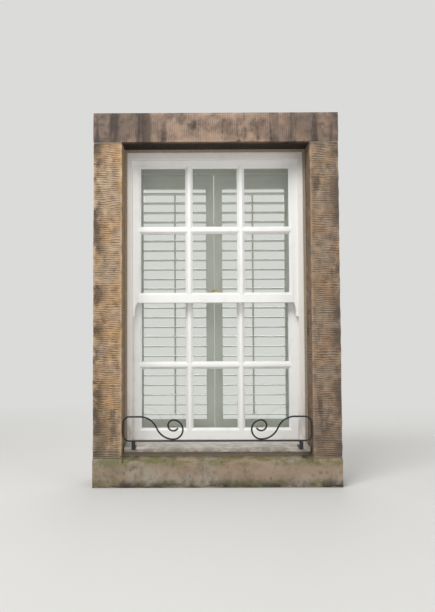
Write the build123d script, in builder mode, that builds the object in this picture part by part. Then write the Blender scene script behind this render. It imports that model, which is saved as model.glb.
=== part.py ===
from build123d import *

import math
import os

# A box-framed sliding sash window in its dressed stone surround, with a shutter behind it.
# +X is to the right seen from outside, +Y runs into the room and +Z is up, in millimetres.
# The origin is on the bed of the stone sill, at mid width, in the plane where the timber
# case meets the stone. Sizes run outwards from the glass: panes, sashes, case, then stone.

os.makedirs("parts", exist_ok=True)

# Panes and sash timbers
pane_width = 246  # seen between the sight lines
pane_height = 327
panes_across = 3
bar_width = 43
stile_width = 56.5
top_rail_width = 56
meeting_rail_width = 56
bottom_rail_width = 64
sash_thickness = 44
putty_width = 14  # sloped putty outside the glass
glass_depth = 13  # glass behind the outer face
glass_thickness = 4
glass_play = 0.2
glass_groove = 8
glass_edge_gap = 0.5
moulding_width = 11.5  # ovolo on the room side
moulding_quirk = 3
moulding_rise = 3
tenon_thickness = 15
tenon_length = 45
tenon_shoulder = 8
joint_play = 0.2
horn_length = 80
horn_top_width = 34
horn_tip_width = 22
horn_rounding = 8
splay_toe = 1.5  # thin side of the splayed meeting rails
splay_play = 1.5  # between the two splayed faces
splay_side_gap = 3  # from the splay to the parting bead

# Case
sash_play = 1.5  # between a sash and what guides it, each side
head_play = 0.3
sill_play = 0.3
lining_thickness = 20
lining_lap = 10  # outer lining in front of the sash edge
head_lining_lap = 13
lining_width = 100
head_lining_width = 86
lining_rounding = 2
pulley_stile_thickness = 25
pulley_stile_housing = 12
parting_bead_thickness = 10
parting_bead_projection = 10
parting_bead_groove = 8
staff_bead_width = 15
staff_bead_lap = 1
staff_bead_rounding = 3
head_board_thickness = 25
head_groove = 6
back_lining_thickness = 8
weight_divider_thickness = 4
weight_divider_width = 48
weight_divider_gap = 5
divider_foot_gap = 50
pocket_height = 400
pocket_foot = 125
mastic_size = 13

# Timber sill
sill_slope = 5  # degrees
sill_projection = 105
sill_nose_height = 22
sill_nose_gap = 5  # to the stone reveal
sill_nose_rounding = 4
sill_body_setback = 25
sill_body_drop = 14
drip_setback = 12
drip_radius = 3

# Stone surround
side_lining_show = 40  # outer lining seen beside the stone
head_lining_show = 53
stone_margin = 155
reveal_depth = 160
check_depth = 150
check_play = 5
head_check_play = 22
stone_sill_height = 153
stone_lintel_height = 159
weathering_run = 75
weathering_fall = 29
mortar_joint = 5
mortar_recess = 2
bedding_thickness = 10
bedding_toe = 5
bedding_rise = 7
stone_arris = 3

# Pulleys, cords and weights
cord_diameter = 7
cord_play = 0.2
cord_edge_gap = 5  # cord's line in front of the pulley stile's face
pulley_pitch_radius = 26
pulley_rim_radius = 28.5
pulley_rim_width = 12
pulley_web_width = 6
pulley_web_radius = 20
pulley_hub_radius = 9
pulley_drop = 87  # wheel's centre under the head board
pulley_lip = 0.6  # groove's mouth wider than its floor, each side
pulley_pin_radius = 4
pulley_pin_play = 0.05
housing_plate_thickness = 3
housing_plate_height = 130
housing_plate_width = 28
housing_cheek_gap = 16
housing_cheek_thickness = 2
housing_cheek_height = 32
housing_cheek_reach = 12  # past the pin's centre
housing_slot_side = 1
housing_slot_end = 3.5
cord_seat_gap = 0.3  # from the cord to its groove in the sash
cord_groove_width = 16
cord_groove_length = 190
cord_tail = 175  # cord's fixed end under the sash's top
knot_hole_radius = 10
knot_hole_depth = 16
weight_radius = 20
upper_weight_length = 675
lower_weight_length = 679
weight_dome = 6
weight_cord_depth = 25
weight_hole_depth = 30
weight_pulley_gap = 45

# Sash fastener and lifts
plate_thickness = 3
fastener_plate_length = 56
fastener_plate_width = 22
fastener_post_radius = 5
fastener_post_play = 0.05
fastener_cap_radius = 8
fastener_cap_thickness = 4
lever_lift = 1
lever_thickness = 5
lever_hub_thickness = 7
lever_hub_radius = 9
lever_hook_reach = 42
lever_hook_width = 10
lever_knob_reach = 32
lever_knob_radius = 6
keeper_width = 32
keeper_depth = 20
keeper_post = 7
keeper_slot = 10
keeper_lip = 4
keeper_lip_gap = 4
keeper_edge_gap = 3.5  # from the upper sash's inner face
lift_offset = 250
lift_width = 40
lift_height = 30
lift_projection = 24
lift_lip = 14
lift_metal = 4
lift_rounding = 3
lift_rise = 20  # above the bottom staff bead

# Interior shutter
shutter_inset = 13  # frame in front of the pulley stile's face
shutter_frame_width = 40
shutter_frame_depth = 65
shutter_panel_thickness = 27
shutter_gap = 3
shutter_stile_width = 45
shutter_top_rail = 78
shutter_bottom_rail_least = 90
shutter_frame_sill_gap = 1
louvre_width = 63
louvre_thickness = 11
louvre_edge = 3
louvre_pitch = 55.5
louvre_end_gap = 0.5
louvre_pin_radius = 2.5
louvre_pin_length = 8
louvre_pin_play = 0.05
tilt_rod_width = 10
tilt_rod_depth = 8
hinge_height = 75
hinge_leaf = 1.2
hinge_leaf_width = 20
hinge_knuckle_radius = 4
hinge_pin_radius = 2
hinge_pin_play = 0.05
hinge_face_gap = 0.5
hinge_knuckle_gap = 0.4
hinge_end_drop = 190

# Iron rail in front of the sill
rail_bar = 9
rail_face_gap = 5.5
rail_side_gap = 2
rail_height = 126
rail_lift = 42  # lower bar above the timber sill's nose
rail_corner = 32
rail_top_run = 87
scroll_run = 176
scroll_weld = 0.5
scroll_radius = 50
curl_radius = 28
curl_angle = 240  # degrees
bracket_offset = 440
bracket_width = 20
bracket_metal = 6
bracket_reach = 40

# Widths that follow, measured from the middle of the window
sight_half = (panes_across * pane_width + (panes_across - 1) * bar_width) / 2
sash_half = sight_half + stile_width
track_half = sash_half + sash_play
lining_half = track_half - lining_lap
case_half = lining_half + lining_width
opening_half = lining_half + side_lining_show
stone_half = opening_half + stone_margin
check_half = case_half + check_play
box_half = track_half + pulley_stile_thickness
bar_step = pane_width + bar_width

# Depths that follow
track_depth = sash_thickness + 2 * sash_play
upper_face = lining_thickness + sash_play
upper_back = upper_face + sash_thickness
parting_front = lining_thickness + track_depth
parting_back = parting_front + parting_bead_thickness
lower_face = parting_back + sash_play
lower_back = lower_face + sash_thickness
staff_front = parting_back + track_depth
inner_lining_front = staff_front + staff_bead_lap
case_back = inner_lining_front + lining_thickness
glass_back = glass_depth + glass_thickness + glass_play
sill_body_front = sill_body_setback - sill_projection

# Heights that follow, from the stone sill's bed
timber_sill_bottom = stone_sill_height + bedding_thickness
nose_bottom = timber_sill_bottom + sill_body_drop
nose_top = nose_bottom + sill_nose_height


def sill_top(y):
    """Height of the timber sill's sloped top at a depth."""
    return nose_top + (y + sill_projection) * math.tan(math.radians(sill_slope))


bottom_sight = sill_top(lower_face) + sill_play + bottom_rail_width
lower_bar_height = bottom_sight + pane_height + bar_width / 2
meeting_bottom = bottom_sight + 2 * pane_height + bar_width
meeting_top = meeting_bottom + meeting_rail_width
upper_bar_height = meeting_top + pane_height + bar_width / 2
top_sight = meeting_top + 2 * pane_height + bar_width
upper_sash_top = top_sight + top_rail_width
head_bottom = upper_sash_top + head_play
head_top = head_bottom + head_board_thickness
head_lining_bottom = head_bottom - head_lining_lap
lining_top = head_lining_bottom + head_lining_width
lintel_bottom = head_lining_bottom + head_lining_show
lintel_top = lintel_bottom + stone_lintel_height
stile_foot = sill_top(lining_thickness) - pulley_stile_housing
pulley_height = head_bottom - pulley_drop
horn_bottom = meeting_bottom - horn_length

# Sash travel
fastener_top = meeting_top + plate_thickness + lever_lift + lever_hub_thickness + fastener_cap_thickness
upper_travel = horn_bottom - sill_top(upper_back) - 2 * sill_play

# Pulley and cord lines
pulley_x = track_half - cord_edge_gap + pulley_pitch_radius
sash_cord_x = pulley_x - pulley_pitch_radius
weight_cord_x = pulley_x + pulley_pitch_radius
upper_track_y = (upper_face + upper_back) / 2
lower_track_y = (lower_face + lower_back) / 2
cord_groove_depth = sash_half - (sash_cord_x - cord_diameter / 2 - cord_seat_gap)
tracks = {"upper": upper_track_y, "lower": lower_track_y}
sash_tops = {"upper": upper_sash_top, "lower": meeting_top}
weight_lengths = {"upper": upper_weight_length, "lower": lower_weight_length}
weight_tops = {
    "upper": pulley_height - weight_pulley_gap - upper_travel,
    "lower": pulley_height - weight_pulley_gap,
}


def save(piece, node):
    """Label a finished piece with its node's name and write it."""
    piece.part.label = node
    export_step(piece.part, f"parts/{node}.step")


def save_together(pieces, node):
    """Write several finished pieces as one node, still as separate solids."""
    group = Compound([solid for piece in pieces for solid in piece.part.solids()])
    group.label = node
    export_step(group, f"parts/{node}.step")


def straight(x, y, z):
    """A squared length of timber, stone or metal between low and high X, Y and Z."""
    with BuildPart() as piece:
        with BuildSketch(Plane.XY.offset(z[0])):
            with Locations(((x[0] + x[1]) / 2, (y[0] + y[1]) / 2)):
                Rectangle(x[1] - x[0], y[1] - y[0])
        extrude(amount=z[1] - z[0])
    return piece


def prism(points, x):
    """A length along X whose section is given as depth and height points."""
    with BuildPart() as piece:
        with BuildSketch(Plane.YZ.offset(x[0])):
            with BuildLine():
                Polyline(*points, close=True)
            make_face()
        extrude(amount=x[1] - x[0])
    return piece


def other_side(piece):
    """The same piece on the other side of the window."""
    with BuildPart() as twin:
        mirror(piece.part, about=Plane.YZ)
    return twin


def both_sides(piece):
    """The piece and its twin on the other side, as separate solids."""
    with BuildPart() as pair:
        add(piece.part)
        mirror(piece.part, about=Plane.YZ)
    return pair


def below_sill(gap):
    """All the space under the timber sill's slope, raised by a gap."""
    front, back = -reveal_depth, case_back + shutter_frame_depth
    points = [(front, 0), (back, 0), (back, sill_top(back) + gap), (front, sill_top(front) + gap)]
    return prism(points, (-stone_half, stone_half))


# Stone sill, with a weathered top sunk between its two flush ends
with BuildPart() as stone_sill:
    add(straight((-stone_half, stone_half), (-reveal_depth, check_depth), (0, stone_sill_height)).part)
    fillet(edges().filter_by(Axis.X).group_by(Axis.Y)[0], stone_arris)
    with BuildSketch(Plane.YZ.offset(-opening_half)):
        with BuildLine():
            Polyline(
                (-reveal_depth - stone_arris, stone_sill_height - weathering_fall),
                (-reveal_depth, stone_sill_height - weathering_fall),
                (weathering_run - reveal_depth, stone_sill_height),
                (-reveal_depth - stone_arris, stone_sill_height),
                close=True,
            )
        make_face()
    extrude(amount=2 * opening_half, mode=Mode.SUBTRACT)
save(stone_sill, "stone_sill")

# Stone jambs, rebated behind the reveal for the timber case
jamb_bottom = stone_sill_height + mortar_joint
jamb_top = lintel_bottom - mortar_joint


def jamb_plan(recess):
    """Plan of the right jamb, drawn in from its faces by a recess."""
    with BuildSketch() as plan:
        with BuildLine():
            Polyline(
                (opening_half + recess, recess - reveal_depth),
                (stone_half - recess, recess - reveal_depth),
                (stone_half - recess, check_depth - recess),
                (check_half + recess, check_depth - recess),
                (check_half + recess, -recess),
                (opening_half + recess, -recess),
                close=True,
            )
        make_face()
    return plan.sketch


with BuildPart() as stone_jamb_right:
    with BuildSketch(Plane.XY.offset(jamb_bottom)):
        add(jamb_plan(0))
    extrude(amount=jamb_top - jamb_bottom)
    fillet(edges().filter_by(Axis.Z).group_by(Axis.Y)[0], stone_arris)
save(stone_jamb_right, "stone_jamb_right")
save(other_side(stone_jamb_right), "stone_jamb_left")

# Lintel, cut away underneath behind the reveal
with BuildPart() as stone_lintel:
    add(straight((-stone_half, stone_half), (-reveal_depth, check_depth), (lintel_bottom, lintel_top)).part)
    fillet(edges().filter_by(Axis.X).group_by(Axis.Y)[0], stone_arris)
    check = straight(
        (-check_half, check_half), (0, check_depth), (lintel_bottom, lining_top + head_check_play)
    )
    add(check.part, mode=Mode.SUBTRACT)
save(stone_lintel, "stone_lintel")

# Mortar: four jamb joints and the bed under the timber sill
with BuildPart() as mortar_joints:
    for joint_bottom in (stone_sill_height, jamb_top):
        with BuildSketch(Plane.XY.offset(joint_bottom)):
            add(jamb_plan(mortar_recess))
            mirror(about=Plane.YZ)
        extrude(amount=mortar_joint)
    bed_front = prism(
        [
            (sill_body_front - bedding_toe, stone_sill_height),
            (0, stone_sill_height),
            (0, timber_sill_bottom),
            (sill_body_front, timber_sill_bottom),
            (sill_body_front, timber_sill_bottom + bedding_rise),
        ],
        (-opening_half, opening_half),
    )
    add(bed_front.part)
    add(straight((-case_half, case_half), (0, case_back), (stone_sill_height, timber_sill_bottom)).part)
save(mortar_joints, "mortar_joints")

# Timber sill, sloped on top, with a nose and a drip between the jambs
with BuildPart() as timber_sill:
    with BuildSketch(Plane.YZ.offset(-case_half)):
        with BuildLine():
            Polyline(
                (-sill_projection, nose_bottom),
                (-sill_projection, nose_top),
                (case_back, sill_top(case_back)),
                (case_back, timber_sill_bottom),
                (sill_body_front, timber_sill_bottom),
                (sill_body_front, nose_bottom),
                close=True,
            )
        make_face()
        with Locations((drip_setback - sill_projection, nose_bottom)):
            Circle(drip_radius, mode=Mode.SUBTRACT)
    extrude(amount=2 * case_half)
    fillet(edges().filter_by(Axis.X).group_by(Axis.Y)[0].sort_by(Axis.Z)[-1], sill_nose_rounding)
    for side in (-1, 1):
        ends = sorted((side * (opening_half - sill_nose_gap), side * stone_half))
        add(straight(ends, (-reveal_depth, 0), (0, head_top)).part, mode=Mode.SUBTRACT)
        housing = sorted((side * track_half, side * box_half))
        trench = straight(housing, (lining_thickness, inner_lining_front), (stile_foot, head_top))
        add(trench.part, mode=Mode.SUBTRACT)
save(timber_sill, "timber_sill")

# Outer linings
with BuildPart() as outer_lining_right:
    add(straight((lining_half, case_half), (0, lining_thickness), (nose_bottom, lining_top)).part)
    fillet(edges().filter_by(Axis.Z).group_by(Axis.X)[0].sort_by(Axis.Y)[0], lining_rounding)
    add(below_sill(0).part, mode=Mode.SUBTRACT)
save(outer_lining_right, "outer_lining_right")
save(other_side(outer_lining_right), "outer_lining_left")

with BuildPart() as outer_lining_head:
    add(straight((-lining_half, lining_half), (0, lining_thickness), (head_lining_bottom, lining_top)).part)
    fillet(edges().filter_by(Axis.X).group_by(Axis.Z)[0].sort_by(Axis.Y)[0], lining_rounding)
save(outer_lining_head, "outer_lining_head")

# Pulley stiles, with the parting bead's groove, two pulley openings and a weight pocket
pocket_bottom = stile_foot + pocket_foot
wheel_opening = pulley_rim_radius + 2 * housing_slot_end
with BuildPart() as pulley_stile_right:
    across = (track_half, box_half)
    add(straight(across, (lining_thickness, inner_lining_front), (stile_foot, head_bottom)).part)
    groove = straight(
        (track_half, track_half + parting_bead_groove), (parting_front, parting_back), (0, head_top)
    )
    add(groove.part, mode=Mode.SUBTRACT)
    pocket_top = pocket_bottom + pocket_height
    pocket = straight(across, (parting_back, inner_lining_front), (pocket_bottom, pocket_top))
    add(pocket.part, mode=Mode.SUBTRACT)
    cheek_opening = housing_cheek_gap / 2 + housing_cheek_thickness + joint_play
    for track_y in tracks.values():
        opening_y = (track_y - cheek_opening, track_y + cheek_opening)
        opening_z = (pulley_height - wheel_opening, pulley_height + wheel_opening)
        add(straight(across, opening_y, opening_z).part, mode=Mode.SUBTRACT)
        plate_y = (track_y - housing_plate_width / 2, track_y + housing_plate_width / 2)
        plate_z = (pulley_height - housing_plate_height / 2, pulley_height + housing_plate_height / 2)
        plate_x = (track_half, track_half + housing_plate_thickness)
        add(straight(plate_x, plate_y, plate_z).part, mode=Mode.SUBTRACT)
save(pulley_stile_right, "pulley_stile_right")
save(other_side(pulley_stile_right), "pulley_stile_left")

# Loose pieces of the pulley stiles that give access to the weights
pocket_piece = straight(
    (track_half, box_half),
    (parting_back, inner_lining_front),
    (pocket_bottom, pocket_top - joint_play),
)
save(both_sides(pocket_piece), "pocket_pieces")

# Head board, grooved for the parting bead
bead_half = track_half - parting_bead_projection
bead_depth = (parting_front, parting_back)
board_depth = (lining_thickness, inner_lining_front)
with BuildPart() as head_board:
    add(straight((-case_half, case_half), board_depth, (head_bottom, head_top)).part)
    groove = straight((-bead_half, bead_half), bead_depth, (head_bottom, head_bottom + head_groove))
    add(groove.part, mode=Mode.SUBTRACT)
save(head_board, "head_board")

# Inner linings at both sides and the head
inner_depth = (inner_lining_front, case_back)
inner_head = straight((-track_half, track_half), inner_depth, (head_bottom, lining_top))
with BuildPart() as inner_side:
    add(straight((track_half, case_half), inner_depth, (nose_bottom, lining_top)).part)
    add(below_sill(0).part, mode=Mode.SUBTRACT)
save_together([inner_side, other_side(inner_side), inner_head], "inner_linings")

# Parting beads between the two tracks, at both sides and the head
with BuildPart() as side_bead:
    bead_width = (bead_half, track_half + parting_bead_groove)
    add(straight(bead_width, bead_depth, (nose_bottom, head_bottom)).part)
    add(below_sill(0).part, mode=Mode.SUBTRACT)
head_bead = straight(
    (-bead_half, bead_half), bead_depth, (head_bottom - parting_bead_projection, head_bottom + head_groove)
)
save_together([side_bead, other_side(side_bead), head_bead], "parting_beads")

# Staff beads that keep the lower sash in, on all four sides
staff_half = track_half - staff_bead_width
staff_depth = (staff_front, case_back)
with BuildPart() as staff_side:
    add(straight((staff_half, track_half), staff_depth, (nose_bottom, head_bottom)).part)
    fillet(edges().filter_by(Axis.Z).group_by(Axis.X)[0].sort_by(Axis.Y)[0], staff_bead_rounding)
    add(below_sill(0).part, mode=Mode.SUBTRACT)
staff_head = straight((-staff_half, staff_half), staff_depth, (head_bottom - staff_bead_width, head_bottom))
staff_foot = prism(
    [
        (staff_front, sill_top(staff_front)),
        (case_back, sill_top(case_back)),
        (case_back, sill_top(case_back) + staff_bead_width),
        (staff_front, sill_top(case_back) + staff_bead_width),
    ],
    (-staff_half, staff_half),
)
save_together([staff_side, other_side(staff_side), staff_head, staff_foot], "staff_beads")

# Thin linings at the backs of the weight boxes
back_lining = straight(
    (case_half - back_lining_thickness, case_half),
    (lining_thickness, inner_lining_front),
    (sill_top(inner_lining_front), head_bottom),
)
save(both_sides(back_lining), "back_linings")

# Strips hung from the head that keep the two weights of a side apart
divider_middle = (parting_front + parting_back) / 2 + 1
divider = straight(
    (box_half + weight_divider_gap, box_half + weight_divider_gap + weight_divider_width),
    (divider_middle - weight_divider_thickness / 2, divider_middle + weight_divider_thickness / 2),
    (stile_foot + divider_foot_gap, head_bottom),
)
save(both_sides(divider), "weight_dividers")

# Mastic fillet in the corner between the stone and the case
with BuildPart() as mastic_fillet:
    for side in (-1, 1):
        with BuildSketch(Plane.XY.offset(nose_bottom)):
            with BuildLine():
                Polyline(
                    (side * opening_half, 0),
                    (side * (opening_half - mastic_size), 0),
                    (side * opening_half, -mastic_size),
                    close=True,
                )
            make_face()
        extrude(amount=lintel_bottom - nose_bottom)
    head_fillet = prism(
        [(0, lintel_bottom), (-mastic_size, lintel_bottom), (0, lintel_bottom - mastic_size)],
        (-opening_half, opening_half),
    )
    add(head_fillet.part)
    add(below_sill(0).part, mode=Mode.SUBTRACT)
save(mastic_fillet, "mastic_fillet")


# Sashes
def sash_section(width, two_sided=False, moulded=True):
    """Section of a sash timber, local x towards the pane and local y into the room."""
    inner_edge = width - moulding_width if moulded else width
    with BuildSketch() as section:
        with BuildLine():
            Polyline(
                (0, 0),
                (width - putty_width, 0),
                (width, glass_depth),
                (width - glass_groove, glass_depth),
                (width - glass_groove, glass_back),
                (width, glass_back),
                (width, glass_back + moulding_quirk),
            )
            if moulded:
                SagittaArc((width, glass_back + moulding_quirk), (inner_edge, sash_thickness), -moulding_rise)
            else:
                Line((width, glass_back + moulding_quirk), (inner_edge, sash_thickness))
            Polyline((inner_edge, sash_thickness), (0, sash_thickness), (0, 0))
        make_face()
        if two_sided:
            mirror(about=Plane.YZ)
    return section.sketch


def towards(direction, origin):
    """Plane whose local x points towards the pane and whose local y runs into the room."""
    return Plane(origin=origin, x_dir=direction, z_dir=Vector(*direction).cross(Vector(0, 1, 0)))


def tenon_heights(back_height, up, width):
    """Low and high Z of the tenon on a rail, clear of its back edge and its glass groove."""
    near = back_height + up * tenon_shoulder
    far = back_height + up * (width - glass_groove - tenon_shoulder)
    return sorted((near, far))


def tenons(face, heights, play):
    """Both tenons of a rail as one length, or the space for them."""
    reach = sight_half + tenon_length + play
    middle = face + sash_thickness / 2
    depth = (middle - tenon_thickness / 2 - play, middle + tenon_thickness / 2 + play)
    return straight((-reach, reach), depth, (heights[0] - play, heights[1] + play))


def sash_stile(face, bottom, top, rail_heights, horned):
    """Left stile of a sash: mortised, grooved for its cord, and with a horn where it has one."""
    with BuildPart() as stile:
        with BuildSketch(towards((1, 0, 0), (-sash_half, face, bottom))):
            add(sash_section(stile_width))
        extrude(amount=top - bottom)
        if horned:
            with BuildSketch(Plane.XZ.offset(-face)):
                with BuildLine():
                    outer, root = -sash_half, horn_top_width - sash_half
                    tip = horn_tip_width - sash_half
                    Polyline((root, bottom), (outer, bottom), (outer, horn_bottom), (tip, horn_bottom))
                    SagittaArc((tip, horn_bottom), (root, bottom), (root - tip) / 2)
                make_face()
            extrude(amount=-sash_thickness)
            fillet(edges().filter_by(Axis.Y).group_by(Axis.Z)[0].sort_by(Axis.X)[-1], horn_rounding)
        for heights in rail_heights:
            add(tenons(face, heights, joint_play).part, mode=Mode.SUBTRACT)
        middle = face + sash_thickness / 2
        groove_x = (-sash_half, cord_groove_depth - sash_half)
        groove_y = (middle - cord_groove_width / 2, middle + cord_groove_width / 2)
        groove_bottom = top - cord_groove_length
        add(straight(groove_x, groove_y, (groove_bottom, top)).part, mode=Mode.SUBTRACT)
        with BuildSketch(Plane.YZ.offset(-sash_half)):
            with Locations((middle, groove_bottom)):
                Circle(knot_hole_radius)
        extrude(amount=knot_hole_depth, mode=Mode.SUBTRACT)
    return stile


def sash_rail(face, back_height, up, width, stiles, moulded=True):
    """A rail between the stiles: up is 1 where the pane is above it and -1 where it is below."""
    reach = sight_half + putty_width
    with BuildPart() as rail:
        with BuildSketch(towards((0, 0, up), (up * reach, face, back_height))):
            add(sash_section(width, moulded=moulded))
        extrude(amount=2 * reach)
        add(tenons(face, tenon_heights(back_height, up, width), 0).part)
        for stile in stiles:
            add(stile.part, mode=Mode.SUBTRACT)
    return rail


def vertical_bars(face, bottom, top, rails):
    """Two upright bars, whole from rail to rail and scribed to them."""
    with BuildPart() as bars:
        for x in (-bar_step / 2, bar_step / 2):
            with BuildSketch(towards((1, 0, 0), (x, face, bottom - putty_width))):
                add(sash_section(bar_width / 2, two_sided=True))
            extrude(amount=top - bottom + 2 * putty_width)
        for rail in rails:
            add(rail.part, mode=Mode.SUBTRACT)
    return bars


def cross_bars(face, height, uprights, stiles):
    """The short bars of one row, scribed between the upright bars and the stiles."""
    reach = sight_half + putty_width
    with BuildPart() as bars:
        with BuildSketch(towards((0, 0, -1), (-reach, face, height))):
            add(sash_section(bar_width / 2, two_sided=True))
        extrude(amount=2 * reach)
        add(uprights.part, mode=Mode.SUBTRACT)
        for stile in stiles:
            add(stile.part, mode=Mode.SUBTRACT)
    return bars


def panes(face, bottom):
    """Six panes of glass, each let into the grooves around it."""
    cover = 2 * (glass_groove - glass_edge_gap)
    first = bottom + pane_height / 2
    with BuildPart() as glass:
        with BuildSketch(Plane.XZ.offset(-(face + glass_depth + glass_play / 2))):
            for height in (first, first + pane_height + bar_width):
                with Locations((0, height)):
                    with GridLocations(bar_step, 1, panes_across, 1):
                        Rectangle(pane_width + cover, pane_height + cover)
        extrude(amount=-glass_thickness)
    return glass


splay_thick = lower_face - upper_back - splay_toe - splay_play
splay_half = lining_half - splay_side_gap

# Upper sash
upper_rails = [
    tenon_heights(upper_sash_top, -1, top_rail_width),
    tenon_heights(meeting_bottom, 1, meeting_rail_width),
]
upper_stile_left = sash_stile(upper_face, meeting_bottom, upper_sash_top, upper_rails, horned=True)
upper_stile_right = other_side(upper_stile_left)
upper_stiles = [upper_stile_left, upper_stile_right]
upper_top_rail = sash_rail(upper_face, upper_sash_top, -1, top_rail_width, upper_stiles)
with BuildPart() as upper_meeting_rail:
    plain_rail = sash_rail(upper_face, meeting_bottom, 1, meeting_rail_width, upper_stiles, moulded=False)
    add(plain_rail.part)
    splay = prism(
        [
            (upper_back, meeting_bottom),
            (upper_back + splay_thick, meeting_bottom),
            (upper_back + splay_toe, meeting_top),
            (upper_back, meeting_top),
        ],
        (-splay_half, splay_half),
    )
    add(splay.part)
upper_uprights = vertical_bars(upper_face, meeting_top, top_sight, [upper_top_rail, upper_meeting_rail])
save(upper_stile_left, "upper_stile_left")
save(upper_stile_right, "upper_stile_right")
save(upper_top_rail, "upper_top_rail")
save(upper_meeting_rail, "upper_meeting_rail")
save(upper_uprights, "upper_vertical_bars")
save(cross_bars(upper_face, upper_bar_height, upper_uprights, upper_stiles), "upper_cross_bars")
save(panes(upper_face, meeting_top), "upper_panes")

# Lower sash
lower_foot = sill_top(lower_face) + sill_play
lower_rails = [
    tenon_heights(meeting_top, -1, meeting_rail_width),
    tenon_heights(lower_foot, 1, bottom_rail_width),
]
with BuildPart() as lower_stile_left:
    add(sash_stile(lower_face, lower_foot, meeting_top, lower_rails, horned=False).part)
    add(below_sill(sill_play).part, mode=Mode.SUBTRACT)
lower_stile_right = other_side(lower_stile_left)
lower_stiles = [lower_stile_left, lower_stile_right]
with BuildPart() as lower_meeting_rail:
    add(sash_rail(lower_face, meeting_top, -1, meeting_rail_width, lower_stiles).part)
    splay = prism(
        [
            (lower_face, meeting_bottom),
            (lower_face, meeting_top),
            (lower_face - splay_thick, meeting_top),
            (lower_face - splay_toe, meeting_bottom),
        ],
        (-splay_half, splay_half),
    )
    add(splay.part)
with BuildPart() as lower_bottom_rail:
    add(sash_rail(lower_face, lower_foot, 1, bottom_rail_width, lower_stiles).part)
    add(below_sill(sill_play).part, mode=Mode.SUBTRACT)
lower_rails = [lower_bottom_rail, lower_meeting_rail]
lower_uprights = vertical_bars(lower_face, bottom_sight, meeting_bottom, lower_rails)
save(lower_stile_left, "lower_stile_left")
save(lower_stile_right, "lower_stile_right")
save(lower_meeting_rail, "lower_meeting_rail")
save(lower_bottom_rail, "lower_bottom_rail")
save(lower_uprights, "lower_vertical_bars")
save(cross_bars(lower_face, lower_bar_height, lower_uprights, lower_stiles), "lower_cross_bars")
save(panes(lower_face, bottom_sight), "lower_panes")

# Sash fastener: a plate with a post on the lower sash, a lever that turns on the post,
# and a keeper on the upper sash that the lever's hook swings under
post_y = lower_track_y
plate_top = meeting_top + plate_thickness
lever_bottom = plate_top + lever_lift
with BuildPart() as fastener_base:
    with BuildSketch(Plane.XY.offset(meeting_top)):
        with Locations((0, post_y)):
            SlotOverall(fastener_plate_length, fastener_plate_width)
    extrude(amount=plate_thickness)
    cap_bottom = lever_bottom + lever_hub_thickness + fastener_post_play
    with BuildSketch(Plane.XY.offset(plate_top)):
        with Locations((0, post_y)):
            Circle(fastener_post_radius)
    extrude(amount=cap_bottom - plate_top)
    with BuildSketch(Plane.XY.offset(cap_bottom)):
        with Locations((0, post_y)):
            Circle(fastener_cap_radius)
    extrude(amount=fastener_top - cap_bottom)
save(fastener_base, "fastener_base")

with BuildPart() as fastener_lever:
    with BuildSketch(Plane.XY.offset(lever_bottom)):
        with Locations((lever_hook_reach / 2, post_y)):
            Rectangle(lever_hook_reach, lever_hook_width)
        with Locations((-lever_knob_reach / 2, post_y)):
            Rectangle(lever_knob_reach, lever_hook_width / 2)
        with Locations((lever_hook_reach, post_y)):
            Circle(lever_hook_width / 2)
        with Locations((-lever_knob_reach, post_y)):
            Circle(lever_knob_radius)
    extrude(amount=lever_thickness)
    with BuildSketch(Plane.XY.offset(lever_bottom)):
        with Locations((0, post_y)):
            Circle(lever_hub_radius)
    extrude(amount=lever_hub_thickness)
    with BuildSketch(Plane.XY.offset(lever_bottom)):
        with Locations((0, post_y)):
            Circle(fastener_post_radius + fastener_post_play)
    extrude(amount=lever_hub_thickness, mode=Mode.SUBTRACT)
save(fastener_lever, "fastener_lever")

with BuildPart() as fastener_keeper:
    keeper_back = upper_back - keeper_edge_gap
    keeper_left, keeper_right = -keeper_width / 2, keeper_width / 2
    with BuildSketch(Plane.XZ.offset(keeper_depth - keeper_back)):
        with BuildLine():
            Polyline(
                (keeper_left, meeting_top),
                (keeper_right, meeting_top),
                (keeper_right, plate_top),
                (keeper_left + keeper_post, plate_top),
                (keeper_left + keeper_post, plate_top + keeper_slot),
                (keeper_right - keeper_lip_gap, plate_top + keeper_slot),
                (keeper_right - keeper_lip_gap, plate_top + keeper_slot + keeper_lip),
                (keeper_left, plate_top + keeper_slot + keeper_lip),
                close=True,
            )
        make_face()
    extrude(amount=-keeper_depth)
save(fastener_keeper, "fastener_keeper")

# Hook lifts on the lower sash's bottom rail
with BuildPart() as lift:
    lift_bottom = sill_top(case_back) + staff_bead_width + lift_rise - lift_metal
    with BuildSketch(Plane.YZ.offset(lift_offset - lift_width / 2)):
        with BuildLine():
            Polyline(
                (lower_back, lift_bottom),
                (lower_back + lift_projection, lift_bottom),
                (lower_back + lift_projection, lift_bottom + lift_lip),
                (lower_back + lift_projection - lift_metal, lift_bottom + lift_lip),
                (lower_back + lift_projection - lift_metal, lift_bottom + lift_metal),
                (lower_back + lift_metal, lift_bottom + lift_metal),
                (lower_back + lift_metal, lift_bottom + lift_height),
                (lower_back, lift_bottom + lift_height),
                close=True,
            )
        make_face()
    extrude(amount=lift_width)
    fillet(edges().filter_by(Axis.X).group_by(Axis.Z)[0].sort_by(Axis.Y)[-1], lift_rounding)
save(both_sides(lift), "sash_lifts")

# Pulleys: a grooved wheel on a pin, in a housing let into the pulley stile
groove_radius = cord_diameter / 2 + cord_play
wheel_half = pulley_rim_width / 2
web_half = pulley_web_width / 2
hub_half = housing_cheek_gap / 2 - joint_play
pin_half = housing_cheek_gap / 2 + housing_cheek_thickness


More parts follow.
